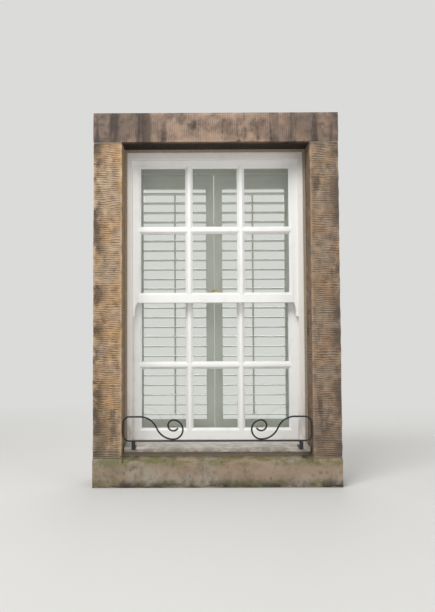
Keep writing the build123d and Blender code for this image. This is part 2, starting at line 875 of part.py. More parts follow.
def pulley_wheel(x, y):
    """A wheel whose axle runs along Y."""
    centre = (x, y, pulley_height)
    bore = pulley_pin_radius + pulley_pin_play
    with BuildPart() as wheel:
        with BuildSketch(Plane(origin=centre, x_dir=(1, 0, 0), z_dir=(0, 0, 1))):
            with BuildLine():
                Polyline(
                    (pulley_pitch_radius, -groove_radius),
                    (pulley_rim_radius, -groove_radius - pulley_lip),
                    (pulley_rim_radius, -wheel_half),
                    (pulley_web_radius, -wheel_half),
                    (pulley_web_radius, -web_half),
                    (pulley_hub_radius, -web_half),
                    (pulley_hub_radius, -hub_half),
                    (bore, -hub_half),
                    (bore, hub_half),
                    (pulley_hub_radius, hub_half),
                    (pulley_hub_radius, web_half),
                    (pulley_web_radius, web_half),
                    (pulley_web_radius, wheel_half),
                    (pulley_rim_radius, wheel_half),
                    (pulley_rim_radius, groove_radius + pulley_lip),
                    (pulley_pitch_radius, groove_radius),
                )
                ThreePointArc(
                    (pulley_pitch_radius, groove_radius),
                    (pulley_pitch_radius - groove_radius, 0),
                    (pulley_pitch_radius, -groove_radius),
                )
            make_face()
        revolve(axis=Axis(centre, (0, 1, 0)))
    return wheel


with BuildPart() as housings:
    for track_y in tracks.values():
        plate_x = (track_half, track_half + housing_plate_thickness)
        plate_y = (track_y - housing_plate_width / 2, track_y + housing_plate_width / 2)
        plate_z = (pulley_height - housing_plate_height / 2, pulley_height + housing_plate_height / 2)
        add(straight(plate_x, plate_y, plate_z).part)
        slot_y = (track_y - wheel_half - housing_slot_side, track_y + wheel_half + housing_slot_side)
        slot_half = pulley_rim_radius + housing_slot_end
        slot_z = (pulley_height - slot_half, pulley_height + slot_half)
        add(straight(plate_x, slot_y, slot_z).part, mode=Mode.SUBTRACT)
        for outward in (-1, 1):
            cheek_y = sorted(
                (track_y + outward * housing_cheek_gap / 2, track_y + outward * pin_half)
            )
            cheek_x = (track_half, pulley_x + housing_cheek_reach)
            cheek_z = (pulley_height - housing_cheek_height / 2, pulley_height + housing_cheek_height / 2)
            add(straight(cheek_x, cheek_y, cheek_z).part)
    with BuildSketch(Plane.XZ):
        with Locations((pulley_x, pulley_height)):
            Circle(pulley_pin_radius)
    extrude(amount=-case_back, mode=Mode.SUBTRACT)
save(both_sides(housings), "pulley_housings")

with BuildPart() as pins:
    for track_y in tracks.values():
        with BuildSketch(Plane.XZ.offset(-(track_y - pin_half))):
            with Locations((pulley_x, pulley_height)):
                Circle(pulley_pin_radius)
        extrude(amount=-2 * pin_half)
save(both_sides(pins), "pulley_pins")


def sash_weight(y, top, length):
    """A cast sash weight on the right side, domed, with a hole at its top for the cord."""
    with BuildPart() as weight:
        with BuildSketch(Plane.XY.offset(top - length)):
            with Locations((weight_cord_x, y)):
                Circle(weight_radius)
        extrude(amount=length)
        fillet(edges().filter_by(GeomType.CIRCLE), weight_dome)
        with BuildSketch(Plane.XY.offset(top - weight_hole_depth)):
            with Locations((weight_cord_x, y)):
                Circle(cord_diameter / 2 + cord_play)
        extrude(amount=weight_hole_depth, mode=Mode.SUBTRACT)
    return weight


def cord_run(x, y, bottom):
    """A plumb stretch of cord up to the height of the pulley's centre."""
    with BuildPart() as run:
        with BuildSketch(Plane.XY.offset(bottom)):
            with Locations((x, y)):
                Circle(cord_diameter / 2)
        extrude(amount=pulley_height - bottom)
    return run


for sash, track_y in tracks.items():
    wheel_right = pulley_wheel(pulley_x, track_y)
    save(wheel_right, f"pulley_wheel_{sash}_right")
    save(other_side(wheel_right), f"pulley_wheel_{sash}_left")
    weight_right = sash_weight(track_y, weight_tops[sash], weight_lengths[sash])
    save(weight_right, f"weight_{sash}_right")
    save(other_side(weight_right), f"weight_{sash}_left")
    sash_run = cord_run(sash_cord_x, track_y, sash_tops[sash] - cord_tail)
    save(both_sides(sash_run), f"cords_{sash}_sash_side")
    weight_run = cord_run(weight_cord_x, track_y, weight_tops[sash] - weight_cord_depth)
    save(both_sides(weight_run), f"cords_{sash}_weight_side")

with BuildPart() as bends:
    for track_y in tracks.values():
        with BuildSketch(Plane.XY.offset(pulley_height)):
            with Locations((sash_cord_x, track_y)):
                Circle(cord_diameter / 2)
        revolve(axis=Axis((pulley_x, track_y, pulley_height), (0, 1, 0)), revolution_arc=180)
save(both_sides(bends), "cord_bends")

# Interior shutter: a frame on the room side of the case and two hinged louvred panels
frame_half = track_half - shutter_inset
frame_back = case_back + shutter_frame_depth
frame_top = top_sight
frame_bottom = sill_top(case_back) + shutter_frame_sill_gap
panel_half = frame_half - shutter_gap
panel_front = frame_back - shutter_panel_thickness
panel_middle = (panel_front + frame_back) / 2
panel_top = frame_top - shutter_gap
panel_bottom = frame_bottom + shutter_gap
frame_depth = (case_back, frame_back)
frame_side = straight(
    (frame_half, frame_half + shutter_frame_width),
    frame_depth,
    (frame_bottom - shutter_frame_width, frame_top + shutter_frame_width),
)
frame_rails = [
    straight((-frame_half, frame_half), frame_depth, (height, height + shutter_frame_width))
    for height in (frame_bottom - shutter_frame_width, frame_top)
]
save_together([frame_side, other_side(frame_side), *frame_rails], "shutter_frame")

louvre_top = panel_top - shutter_top_rail
louvre_room = louvre_top - panel_bottom - shutter_bottom_rail_least
louvre_count = math.floor(louvre_room / louvre_pitch)
louvre_bottom = louvre_top - louvre_count * louvre_pitch
louvre_heights = [louvre_top - (i + 0.5) * louvre_pitch for i in range(louvre_count)]
louvre_inner = shutter_gap / 2 + shutter_stile_width
louvre_outer = panel_half - shutter_stile_width
panel_depth = (panel_front, frame_back)
hinge_x = (frame_half + panel_half) / 2
hinge_y = frame_back + hinge_knuckle_radius + hinge_face_gap
hinge_heights = [
    panel_bottom + hinge_end_drop,
    (panel_bottom + panel_top) / 2,
    panel_top - hinge_end_drop,
]
knuckle_length = (hinge_height - 2 * hinge_knuckle_gap) / 3
end_knuckle = knuckle_length + hinge_knuckle_gap


def knuckle(bottom, length, leaf_x, bore):
    """One knuckle of a hinge with the tab that joins it to its leaf."""
    with BuildPart() as roll:
        with BuildSketch(Plane.XY.offset(bottom)):
            with Locations((hinge_x, hinge_y)):
                Circle(hinge_knuckle_radius)
            with Locations((sum(leaf_x) / 2, (frame_back - hinge_leaf + hinge_y) / 2)):
                Rectangle(leaf_x[1] - leaf_x[0], hinge_y - frame_back + hinge_leaf)
            with Locations((hinge_x, hinge_y)):
                Circle(bore, mode=Mode.SUBTRACT)
        extrude(amount=length)
    return roll


# Hinge halves on the frame, with their pins
frame_leaf_x = (frame_half - hinge_leaf, frame_half)
with BuildPart() as frame_hinges:
    for height in hinge_heights:
        low, high = height - hinge_height / 2, height + hinge_height / 2
        add(straight(frame_leaf_x, (frame_back - hinge_leaf_width, frame_back), (low, high)).part)
        for bottom in (low, high - knuckle_length):
            add(knuckle(bottom, knuckle_length, frame_leaf_x, hinge_pin_radius).part)
with BuildPart() as hinge_pins:
    for height in hinge_heights:
        with BuildSketch(Plane.XY.offset(height - hinge_height / 2)):
            with Locations((hinge_x, hinge_y)):
                Circle(hinge_pin_radius)
        extrude(amount=hinge_height)
with BuildPart() as shutter_hinges:
    for piece in (frame_hinges, hinge_pins):
        add(piece.part.solids())
        add(piece.part.mirror(Plane.YZ).solids())
save(shutter_hinges, "shutter_hinges")

# Panels: two stiles drilled for the louvre pins, two rails and the hinge halves
panel_leaf_x = (panel_half, panel_half + hinge_leaf)
with BuildPart() as panel_stiles:
    for x in ((shutter_gap / 2, louvre_inner), (louvre_outer, panel_half)):
        add(straight(x, panel_depth, (panel_bottom, panel_top)).part)
    with BuildSketch(Plane.YZ.offset(louvre_inner - louvre_pin_length)):
        with Locations(*[(panel_middle, height) for height in louvre_heights]):
            Circle(louvre_pin_radius + louvre_pin_play)
    extrude(amount=louvre_outer - louvre_inner + 2 * louvre_pin_length, mode=Mode.SUBTRACT)
panel_rails = [
    straight((louvre_inner, louvre_outer), panel_depth, z)
    for z in ((panel_bottom, louvre_bottom), (louvre_top, panel_top))
]
with BuildPart() as panel_hinges:
    for height in hinge_heights:
        low, high = height - hinge_height / 2, height + hinge_height / 2
        add(straight(panel_leaf_x, (frame_back - hinge_leaf_width, frame_back), (low, high)).part)
        bore = hinge_pin_radius + hinge_pin_play
        add(knuckle(low + end_knuckle, knuckle_length, panel_leaf_x, bore).part)
panel_pieces = [panel_stiles, *panel_rails, panel_hinges]
save_together(panel_pieces, "shutter_panel_right")
save_together([other_side(piece) for piece in panel_pieces], "shutter_panel_left")

# Louvres on their pins, and the rod that tilts them together
with BuildPart() as shutter_louvres_right:
    half, edge = louvre_width / 2, louvre_edge / 2
    with BuildSketch(Plane.YZ.offset(louvre_inner + louvre_end_gap)):
        for height in louvre_heights:
            with BuildLine():
                front, back = panel_middle - half, panel_middle + half
                Line((front, height - edge), (front, height + edge))
                ThreePointArc(
                    (front, height + edge),
                    (panel_middle, height + louvre_thickness / 2),
                    (back, height + edge),
                )
                Line((back, height + edge), (back, height - edge))
                ThreePointArc(
                    (back, height - edge),
                    (panel_middle, height - louvre_thickness / 2),
                    (front, height - edge),
                )
            make_face()
    extrude(amount=louvre_outer - louvre_inner - 2 * louvre_end_gap)
    for x in (louvre_inner - louvre_pin_length, louvre_outer - louvre_end_gap):
        with BuildSketch(Plane.YZ.offset(x)):
            with Locations(*[(panel_middle, height) for height in louvre_heights]):
                Circle(louvre_pin_radius)
        extrude(amount=louvre_pin_length + louvre_end_gap)
    rod_x = (louvre_inner + louvre_outer) / 2
    rod = straight(
        (rod_x - tilt_rod_width / 2, rod_x + tilt_rod_width / 2),
        (panel_middle + half, panel_middle + half + tilt_rod_depth),
        (louvre_heights[-1] - tilt_rod_width, louvre_heights[0] + tilt_rod_width),
    )
    add(rod.part)
save(shutter_louvres_right, "shutter_louvres_right")
save(other_side(shutter_louvres_right), "shutter_louvres_left")

# Iron rail: a round bar bent into a hoop and a scroll at each end, on two cranked brackets
rail_y = rail_face_gap + rail_bar / 2 - reveal_depth
rail_low = nose_top + rail_lift
rail_end = opening_half - rail_side_gap - rail_bar / 2
low_bar_half = rail_end - rail_corner
scroll_fall = rail_height - rail_bar + scroll_weld
sweep_radius = (scroll_run**2 + scroll_fall**2) / (4 * scroll_fall)
sweep_angle = math.degrees(2 * math.atan2(scroll_fall, scroll_run))
with BuildPart() as rail_half:
    with BuildLine(Plane.XZ.offset(-rail_y)):
        low_corner = JernArc((-low_bar_half, rail_low), (-1, 0), rail_corner, -90)
        upright = Line(low_corner @ 1, low_corner @ 1 + Vector(0, 0, rail_height - 2 * rail_corner))
        high_corner = JernArc(upright @ 1, upright % 1, rail_corner, -90)
        top_bar = Line(high_corner @ 1, high_corner @ 1 + Vector(rail_top_run - rail_corner, 0, 0))
        fall = JernArc(top_bar @ 1, top_bar % 1, sweep_radius, -sweep_angle)
        rise = JernArc(fall @ 1, fall % 1, sweep_radius, sweep_angle)
        scroll = JernArc(rise @ 1, rise % 1, scroll_radius, 180)
        JernArc(scroll @ 1, scroll % 1, curl_radius, curl_angle)
    with BuildSketch(Plane(origin=low_corner @ 0, z_dir=(-1, 0, 0))):
        Circle(rail_bar / 2)
    sweep()
    with BuildSketch(Plane.YZ):
        with Locations((rail_y, rail_low)):
            Circle(rail_bar / 2)
    extrude(amount=-low_bar_half)
    leg_front, leg_back = rail_y - bracket_metal / 2, rail_y + bracket_metal / 2
    foot_end = bracket_reach - sill_projection
    bracket_section = [
        (leg_front, rail_low),
        (leg_front, sill_top(leg_front)),
        (foot_end, sill_top(foot_end)),
        (foot_end, sill_top(foot_end) + bracket_metal),
        (leg_back, sill_top(leg_back) + bracket_metal),
        (leg_back, rail_low),
    ]
    bracket_sides = (-bracket_offset - bracket_width / 2, bracket_width / 2 - bracket_offset)
    add(prism(bracket_section, bracket_sides).part)
with BuildPart() as window_rail:
    add(rail_half.part)
    mirror(rail_half.part, about=Plane.YZ)
save(window_rail, "window_rail")
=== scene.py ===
"""Dresses a box-framed sash window, its stone surround, iron rail and louvred shutters for rendering."""

import math

import bmesh
import bpy
from bpy.props import FloatProperty, FloatVectorProperty, IntProperty, PointerProperty
from mathutils import Matrix, Vector, noise


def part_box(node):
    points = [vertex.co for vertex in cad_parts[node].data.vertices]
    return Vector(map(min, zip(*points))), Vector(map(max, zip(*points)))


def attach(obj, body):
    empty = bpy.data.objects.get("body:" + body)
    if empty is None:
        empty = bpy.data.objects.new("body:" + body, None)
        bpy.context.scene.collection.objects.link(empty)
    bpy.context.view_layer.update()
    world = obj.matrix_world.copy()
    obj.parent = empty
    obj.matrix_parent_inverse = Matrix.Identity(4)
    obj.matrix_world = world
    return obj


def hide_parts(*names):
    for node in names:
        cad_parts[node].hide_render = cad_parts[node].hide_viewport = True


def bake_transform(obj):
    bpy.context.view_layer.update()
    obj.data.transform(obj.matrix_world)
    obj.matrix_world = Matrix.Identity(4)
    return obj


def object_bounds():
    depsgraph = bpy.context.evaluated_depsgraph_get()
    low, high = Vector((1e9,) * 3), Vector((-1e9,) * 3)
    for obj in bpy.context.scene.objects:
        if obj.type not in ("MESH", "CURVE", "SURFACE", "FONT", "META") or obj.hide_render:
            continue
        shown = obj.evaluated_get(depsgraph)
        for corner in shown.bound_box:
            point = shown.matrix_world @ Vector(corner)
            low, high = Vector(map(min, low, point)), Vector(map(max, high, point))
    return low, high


bl_info = {
    "name": "Sash Window",
    "version": (1, 0, 0),
    "blender": (4, 5, 0),
    "location": "3D Viewport > Sidebar > Sash Window",
    "description": "Stone, paint, glass, brass, iron and cord for a sliding sash window",
    "category": "Object",
}

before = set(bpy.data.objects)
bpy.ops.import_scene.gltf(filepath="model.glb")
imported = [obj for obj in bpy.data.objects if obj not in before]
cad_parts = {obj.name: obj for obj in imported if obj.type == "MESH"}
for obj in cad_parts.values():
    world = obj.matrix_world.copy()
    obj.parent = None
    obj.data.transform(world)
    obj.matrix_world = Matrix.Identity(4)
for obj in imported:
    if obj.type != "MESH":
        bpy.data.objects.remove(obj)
cad_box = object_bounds()
MM = 0.001

# Shading: faces that meet at less than these angles, in degrees, look smooth
SMOOTH_ANGLE = 35
EASED_SMOOTH_ANGLE = 16  # a low one keeps eased arrises from tinting the flats beside them
ARRIS_ANGLE = 40  # arrises sharper than this get eased

# Brush strokes and grain, drawn out along a board
UPRIGHT = (1, 1, 0.05)
LEVEL = (0.05, 1, 1)

# Stone
COARSE_STEP = 16 * MM  # mesh spacing across the tooling
PLAIN_BEHIND = 5 * MM  # jambs and lintel are left plain behind this depth
SILL_PLAIN_BEHIND = -60 * MM
WEAR_REACH = 14 * MM  # from an arris to where its wear ends
ROLL_DEPTH = 0.8 * MM
SHADE_REACH = 40 * MM  # from the front to where the painted shade is full
# share of painted shade on the faces turned to the opening: a little on the reveals, full under the
# lintel
REVEAL_SHADE = 0.08
SOFFIT_SHADE = 1.0
LEVEL_TOOLING = 520 * MM  # past this distance from mid width the lintel's furrows run level
LINTEL_PITCH = 0.8  # share of the furrows' spacing and depth on the jambs
LINTEL_DEPTH = 0.6
JAMB_DRAFT = (6 * MM, 10 * MM)  # plain margin along an arris, and where tooling fades in beside it
LINTEL_DRAFT = (5 * MM, 9 * MM)
FACING = 0.7  # least part of a normal along an axis for a face to count as facing that way
CHIP_HEIGHT = 30 * MM  # chips are knocked off the sill's foot, up to here
CHIP_DEPTH = 14 * MM
CHIP_SHADE = 4 * MM  # a chip this deep gets as much painted shade as a furrow's floor
PIT_DEPTH = 1.5 * MM

# Screws
SCREW_SIDES = 24
SCREW_RISE = 0.5 * MM
SLOT_HALF_WIDTH = 0.6 * MM
SLOT_DEPTH = 0.4 * MM
SLOT_TURN = 1.1  # radians from one screw's slot to the next

# Stage, in metres, watts and degrees
LAMPS = (
    ("key_softbox", (-1.4, -3.0, 4.6), 2.2, 172),
    ("fill_softbox", (3.4, -4.0, 2.0), 3.0, 45),
    ("back_softbox", (0.5, 4.2, 3.6), 3.0, 90),
)
LAMP_TARGET = (0, 0, 1.0)
WORLD_STRENGTH = 0.64
FLOOR_SIZE = 25
FADE_START = 1.2
FADE_END = 5.0
SENSOR_HEIGHT = 36  # millimetres
# the camera was fitted to the lines of the photograph
CAMERA_PLACE = (-0.136, -3.758, 0.768)
CAMERA_YAW = -0.26
CAMERA_PITCH = 2.87
CAMERA_ROLL = -0.2
CAMERA_SHIFT = 29.7 / 612


def srgb(code):
    """Linear colour, with alpha, of an sRGB hex code."""
    parts = [int(code[i : i + 2], 16) / 255 for i in (1, 3, 5)]
    return (*[p / 12.92 if p <= 0.04045 else ((p + 0.055) / 1.055) ** 2.4 for p in parts], 1.0)


# Meshes


def cad_copy(node):
    """A bmesh of a CAD node with its triangles merged into flat faces."""
    bm = bmesh.new()
    bm.from_mesh(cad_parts[node].data)
    bmesh.ops.remove_doubles(bm, verts=bm.verts, dist=1e-6)
    bmesh.ops.dissolve_limit(bm, angle_limit=math.radians(0.5), verts=bm.verts, edges=bm.edges)
    return bm


def ease_edges(bm, width):
    """Round the sharp arrises of a bmesh that stand out."""
    sharp = [
        e
        for e in bm.edges
        if len(e.link_faces) == 2 and e.is_convex and e.calc_face_angle() > math.radians(ARRIS_ANGLE)
    ]
    bmesh.ops.bevel(
        bm,
        geom=sharp,
        offset=width,
        offset_type="OFFSET",
        affect="EDGES",
        segments=2,
        profile=0.5,
        material=-1,
        clamp_overlap=True,
    )


def slice_along(bm, axis, spacing):
    """Cut a bmesh into even slices square to an axis, working up from its low end."""
    places = [v.co[axis] for v in bm.verts]
    low, high = min(places), max(places)
    count = max(1, round((high - low) / spacing))
    normal = Vector([float(i == axis) for i in range(3)])
    ahead = bm.faces[:]
    for i in range(1, count):
        place = low + (high - low) * i / count
        geom = {part for face in ahead for part in (face, *face.edges, *face.verts)}
        cut = bmesh.ops.bisect_plane(
            bm, geom=list(geom), dist=1e-7, plane_co=normal * place, plane_no=normal
        )
        faces = [g for g in cut["geom"] if isinstance(g, bmesh.types.BMFace)]
        ahead = [f for f in faces if f.calc_center_median()[axis] > place]


def make_piece(bm, name, material, body, nodes=(), smooth=SMOOTH_ANGLE):
    """Turn a bmesh into a piece that rides on a body and stands for the CAD nodes named."""
    mesh = bpy.data.meshes.new(name)
    bm.to_mesh(mesh)
    bm.free()
    mesh.materials.append(material)
    mesh.shade_smooth()
    mesh.set_sharp_from_angle(angle=math.radians(smooth))
    piece = bpy.data.objects.new(name, mesh)
    bpy.context.scene.collection.objects.link(piece)
    if nodes:
        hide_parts(*nodes)
    if body:
        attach(piece, body)
    return piece


def eased_piece(node, material, body, easing):
    """A painted copy of a timber node with its arrises eased."""
    bm = cad_copy(node)
    ease_edges(bm, easing)
    make_piece(bm, f"painted_{node}", material, body, [node], EASED_SMOOTH_ANGLE)


def screw_head(bm, place, facing, radius, turn):
    """Slotted countersunk screw, its head just proud of a plate that faces a direction."""
    head = bmesh.ops.create_cone(
        bm,
        cap_ends=True,
        segments=SCREW_SIDES,
        radius1=radius,
        radius2=radius * 0.9,
        depth=2 * SCREW_RISE,
    )["verts"]
    for side in (-1, 1):
        cut = bmesh.ops.bisect_plane(
            bm,
            geom=list({part for v in head for part in (v, *v.link_edges, *v.link_faces)}),
            plane_co=(side * SLOT_HALF_WIDTH, 0, 0),
            plane_no=(1, 0, 0),
        )
        head = list({v for g in cut["geom"] for v in (g.verts if hasattr(g, "verts") else [g])})
    floor = [
        f
        for f in {f for v in head for f in v.link_faces}
        if f.normal.z > 0.9 and abs(f.calc_center_median().x) < SLOT_HALF_WIDTH / 2
    ]
    sunk = bmesh.ops.extrude_face_region(bm, geom=floor)["geom"]
    fresh = [g for g in sunk if isinstance(g, bmesh.types.BMVert)]
    bmesh.ops.translate(bm, verts=fresh, vec=(0, 0, -SLOT_DEPTH))
    bmesh.ops.delete(bm, geom=floor, context="FACES_ONLY")
    aim = Vector(facing).to_track_quat("Z", "Y").to_matrix().to_4x4()
    lie = Matrix.Translation(place) @ aim @ Matrix.Rotation(turn, 4, "Z")
    bmesh.ops.transform(bm, matrix=lie, verts=list({*head, *fresh}))


def dress(material, *nodes):
    """Give CAD nodes that keep their shape a material."""
    for node in nodes:
        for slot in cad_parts[node].material_slots:
            slot.material = material


# Material nodes


def new_material(name):
    """A material whose shader is ready for links, with its node tree."""
    material = bpy.data.materials.new(name)
    material.use_nodes = True
    return material, material.node_tree, material.node_tree.nodes["Principled BSDF"]


def add(tree, kind, values=None, links=None, **settings):
    """Add a node with its settings, its input values and the sockets that feed it."""
    node = tree.nodes.new(kind)
    for key, value in settings.items():
        setattr(node, key, value)
    for key, value in (values or {}).items():
        node.inputs[key].default_value = value
    for key, socket in (links or {}).items():
        tree.links.new(socket, node.inputs[key])
    return node


def object_place(tree, scale=(1, 1, 1)):
    """Object coordinates, stretched by a scale."""
    place = add(tree, "ShaderNodeTexCoord").outputs["Object"]
    return add(tree, "ShaderNodeMapping", {"Scale": scale}, {"Vector": place}).outputs["Vector"]


def grain_of(size_mm):
    """Noise scale whose blotches are about a size across."""
    return 1 / (size_mm * MM)


def ramp(tree, socket, low, high):
    """A factor that rises smoothly from 0 to 1 between two values."""
    values = {"From Min": low, "From Max": high}
    return add(
        tree, "ShaderNodeMapRange", values, {"Value": socket}, interpolation_type="SMOOTHSTEP"
    ).outputs["Result"]


def fed_by(*items):
    """Input values and links, told apart, from pairs of an input and the value or socket for it."""
    values, links = {}, {}
    for key, item in items:
        (links if isinstance(item, bpy.types.NodeSocket) else values)[key] = item
    return values, links


def blended(tree, factor, first, second):
    """The colour between two colours, each given as a value or a socket."""
    values, links = fed_by((0, factor), (6, first), (7, second))
    return add(tree, "ShaderNodeMix", values, links, data_type="RGBA").outputs[2]


def maths(tree, operation, *terms):
    """The outcome of an operation on factors, each given as a value or a socket."""
    values, links = fed_by(*enumerate(terms))
    return add(tree, "ShaderNodeMath", values, links, operation=operation).outputs[0]


def product(tree, first, second):
    """Two factors multiplied."""
    return maths(tree, "MULTIPLY", first, second)


def rough_between(tree, shader, factor, low, high):
    """Let the roughness follow a factor between two values."""
    values = {"To Min": low, "To Max": high}
    spread = add(tree, "ShaderNodeMapRange", values, {"Value": factor})
    tree.links.new(spread.outputs["Result"], shader.inputs["Roughness"])


def surface_between(tree, factor, first, second):
    """The surface between two shaders."""
    links = {0: factor, 1: first.outputs[0], 2: second.outputs[0]}
    return add(tree, "ShaderNodeMixShader", None, links).outputs[0]


def stained(tree, colour, tone, axis, near, far, blotch, strength):
    """A colour with a stain in blotches, which fades in between two places on an axis."""
    mask = product(tree, product(tree, from_edge(tree, axis, near, far), blotch), strength)
    return blended(tree, mask, colour, srgb(tone))


def speckle(tree, size_mm, detail, rough, stretch=(1, 1, 1)):
    """Noise with blotches of a real size, stretched along the axes given less than 1."""
    values = {"Scale": grain_of(size_mm), "Detail": detail, "Roughness": rough}
    place = object_place(tree, stretch)
    return add(tree, "ShaderNodeTexNoise", values, {"Vector": place}).outputs["Fac"]


def relief(tree, shader, height, depth_mm, strength):
    """Raise or sink the surface's shading by a height factor."""
    values = {"Strength": strength, "Distance": depth_mm * MM}
    bump = add(tree, "ShaderNodeBump", values, {"Height": height})
    tree.links.new(bump.outputs["Normal"], shader.inputs["Normal"])


def from_edge(tree, axis, low, high):
    """A factor that rises from 0 to 1 between two places on an axis, taken from mid width on X."""
    place = add(tree, "ShaderNodeTexCoord").outputs["Object"]
    place = add(tree, "ShaderNodeSeparateXYZ", None, {"Vector": place}).outputs[axis]
    if axis == "X":
        place = maths(tree, "ABSOLUTE", place)
    return ramp(tree, place, low, high)


def sandstone(name, pale, warm, dark, runs, run_stretch, run_share, stains):
    """Dressed sandstone, weathered: gritty, matt, brown where iron shows, sooty in runs of rain, with
    painted shade in its hollows and on the faces turned to the opening.

    Each stain is a colour, an axis, the two places that it fades in between, the size of its blotches
    and its strength.
    """
    material, tree, shader = new_material(name)
    beds = speckle(tree, 130, 4, 0.6)
    patches = speckle(tree, 38, 5, 0.65)
    colour = blended(tree, ramp(tree, beds, 0.38, 0.62), srgb(pale), srgb(warm))
    colour = blended(tree, product(tree, ramp(tree, patches, 0.42, 0.72), 0.5), colour, srgb(dark))
    # soot and lichen run down the face, so their blotches are drawn out along Z
    darkening = ramp(tree, speckle(tree, 85, 5, 0.6, run_stretch), 0.63 - run_share, 0.73 - run_share)
    colour = blended(tree, product(tree, darkening, 0.8), colour, srgb(runs))
    for tone, axis, near, far, size, strength in stains:
        blotch = ramp(tree, speckle(tree, size, 5, 0.65, (0.6, 1, 0.6)), 0.4, 0.58)
        colour = stained(tree, colour, tone, axis, near, far, blotch, strength)
    # painted shade: the faces turned to the opening, under the lintel and in the reveals, are darkened
    # from the front inwards in place of the shadow that falls there
    painted_reveal_shade = add(tree, "ShaderNodeAttribute", attribute_name="painted_reveal_shade").outputs["Fac"]
    colour = blended(tree, product(tree, painted_reveal_shade, 0.95), colour, srgb("#1A130D"))
    # painted shade: the floors of furrows, chips and pits are darkened by how deep they lie
    painted_hollow_shade = add(tree, "ShaderNodeAttribute", attribute_name="painted_hollow_shade").outputs["Fac"]
    colour = blended(tree, product(tree, painted_hollow_shade, 0.85), colour, srgb(dark))
    # sand grains are under 1 mm, drawn at 4 mm so that they show
    grit = speckle(tree, 4, 3, 0.7)
    colour = blended(tree, product(tree, ramp(tree, grit, 0.5, 0.75), 0.3), colour, srgb(pale))
    tree.links.new(colour, shader.inputs["Base Color"])
    shader.inputs["Roughness"].default_value = 0.92
    shader.inputs["Specular IOR Level"].default_value = 0.3
    relief(tree, shader, grit, 1.4, 0.8)
    return material


def gloss_paint(name, colour, grime, stroke_stretch, stains=()):
    """Oil gloss brushed on pine: white, a little uneven, with fine brush lines and some street dirt."""
    material, tree, shader = new_material(name)
    worn = speckle(tree, 90, 5, 0.6)
    base = blended(tree, product(tree, ramp(tree, worn, 0.5, 0.8), 0.3), colour, grime)
    # dirt washed off the stone gathers where the timber meets it; on the sill, below the nose, the stain
    # is partly painted shade
    for tone, axis, near, far, stretch, strength in stains:
        drips = ramp(tree, speckle(tree, 30, 5, 0.6, stretch), 0.35, 0.6)
        base = stained(tree, base, tone, axis, near, far, drips, strength)
    tree.links.new(base, shader.inputs["Base Color"])
    brush = speckle(tree, 2.5, 2, 0.5, stroke_stretch)
    rough_between(tree, shader, worn, 0.24, 0.42)
    relief(tree, shader, brush, 0.12, 0.35)
    return material


def pane_glass(name, tint):
    """Drawn sheet glass: clear, faintly green, with the slow waves of old panes."""
    material, tree, shader = new_material(name)
    shader.inputs["Base Color"].default_value = tint
    shader.inputs["Roughness"].default_value = 0.0
    shader.inputs["IOR"].default_value = 1.5
    shader.inputs["Transmission Weight"].default_value = 1.0
    relief(tree, shader, speckle(tree, 160, 1, 0.4), 0.3, 0.1)
    return material


def cast_brass(name, colour, tarnish, rough):
    """Cast and polished brass, dulled by fingers, darker in blotches."""
    material, tree, shader = new_material(name)
    blotch = speckle(tree, 9, 4, 0.6)
    metal = blended(tree, ramp(tree, blotch, 0.45, 0.75), colour, tarnish)
    tree.links.new(metal, shader.inputs["Base Color"])
    shader.inputs["Metallic"].default_value = 1.0
    rough_between(tree, shader, blotch, rough, rough + 0.25)
    relief(tree, shader, speckle(tree, 1.5, 2, 0.5), 0.05, 0.4)
    return material


def iron_finish(name, colour, second, rough, metallic, bump_mm):
    """Iron as cast, or forged and painted: lumpy, with a second tone where it is worn or rusty."""
    material, tree, shader = new_material(name)
    blotch = speckle(tree, 14, 5, 0.7)
    metal = blended(tree, ramp(tree, blotch, 0.55, 0.75), colour, second)
    tree.links.new(metal, shader.inputs["Base Color"])
    shader.inputs["Metallic"].default_value = metallic
    rough_between(tree, shader, blotch, rough, rough + 0.2)
    relief(tree, shader, speckle(tree, 5, 4, 0.6), bump_mm, 0.6)
    return material


def braided_cotton(name):
    """Waxed, braided cotton sash cord: strands cross the cord every 5 mm."""
    material, tree, shader = new_material(name)
    place = object_place(tree)
    # the wave node repeats every 2 pi / (20 x scale) metres
    strand = 5 * MM
    scale = 2 * math.pi / (20 * strand)
    lay = add(
        tree,
        "ShaderNodeTexWave",
        {"Scale": scale, "Distortion": 1.5},
        {"Vector": place},
        bands_direction="DIAGONAL",
    ).outputs["Fac"]
    tree.links.new(blended(tree, lay, srgb("#B9AE95"), srgb("#E2DAC6")), shader.inputs["Base Color"])
    shader.inputs["Roughness"].default_value = 0.8
    relief(tree, shader, lay, 0.5, 0.8)
    return material


def sawn_pine(name):
    """Bare softwood inside the weight boxes: long grain up the board, gone brown with age."""
    material, tree, shader = new_material(name)
    # growth rings show about 8 mm apart and run the board's length
    grain = speckle(tree, 8, 4, 0.6, (1, 1, 0.04))
    tree.links.new(blended(tree, grain, srgb("#B58A58"), srgb("#7E5A36")), shader.inputs["Base Color"])
    shader.inputs["Roughness"].default_value = 0.75
    relief(tree, shader, grain, 0.4, 0.5)
    return material


def plain_filler(name, colour, second, size_mm, bump_mm, rough=0.9):
    """Mortar or mastic: pointed by hand, lumpy, two close tones."""
    material, tree, shader = new_material(name)
    lumps = speckle(tree, size_mm, 4, 0.65)
    tree.links.new(blended(tree, lumps, colour, second), shader.inputs["Base Color"])
    shader.inputs["Roughness"].default_value = rough
    relief(tree, shader, lumps, bump_mm, 0.8)
    return material


# Settings that a user may change


class StoneSettings(bpy.types.PropertyGroup):
    furrow_pitch: FloatProperty(
        name="Furrow spacing", description="Distance between tooled furrows", default=11.5 * MM,
        unit="LENGTH",
    )
    furrow_depth: FloatProperty(
        name="Furrow depth", description="Depth of a tooled furrow", default=3 * MM, unit="LENGTH"
    )
    arris_wear: FloatProperty(
        name="Arris wear", description="Most that an arris has lost to weather", default=6 * MM,
        unit="LENGTH",
    )
    slice_height: FloatProperty(
        name="Mesh step", description="Mesh spacing along the tooling", default=2.75 * MM, unit="LENGTH"
    )


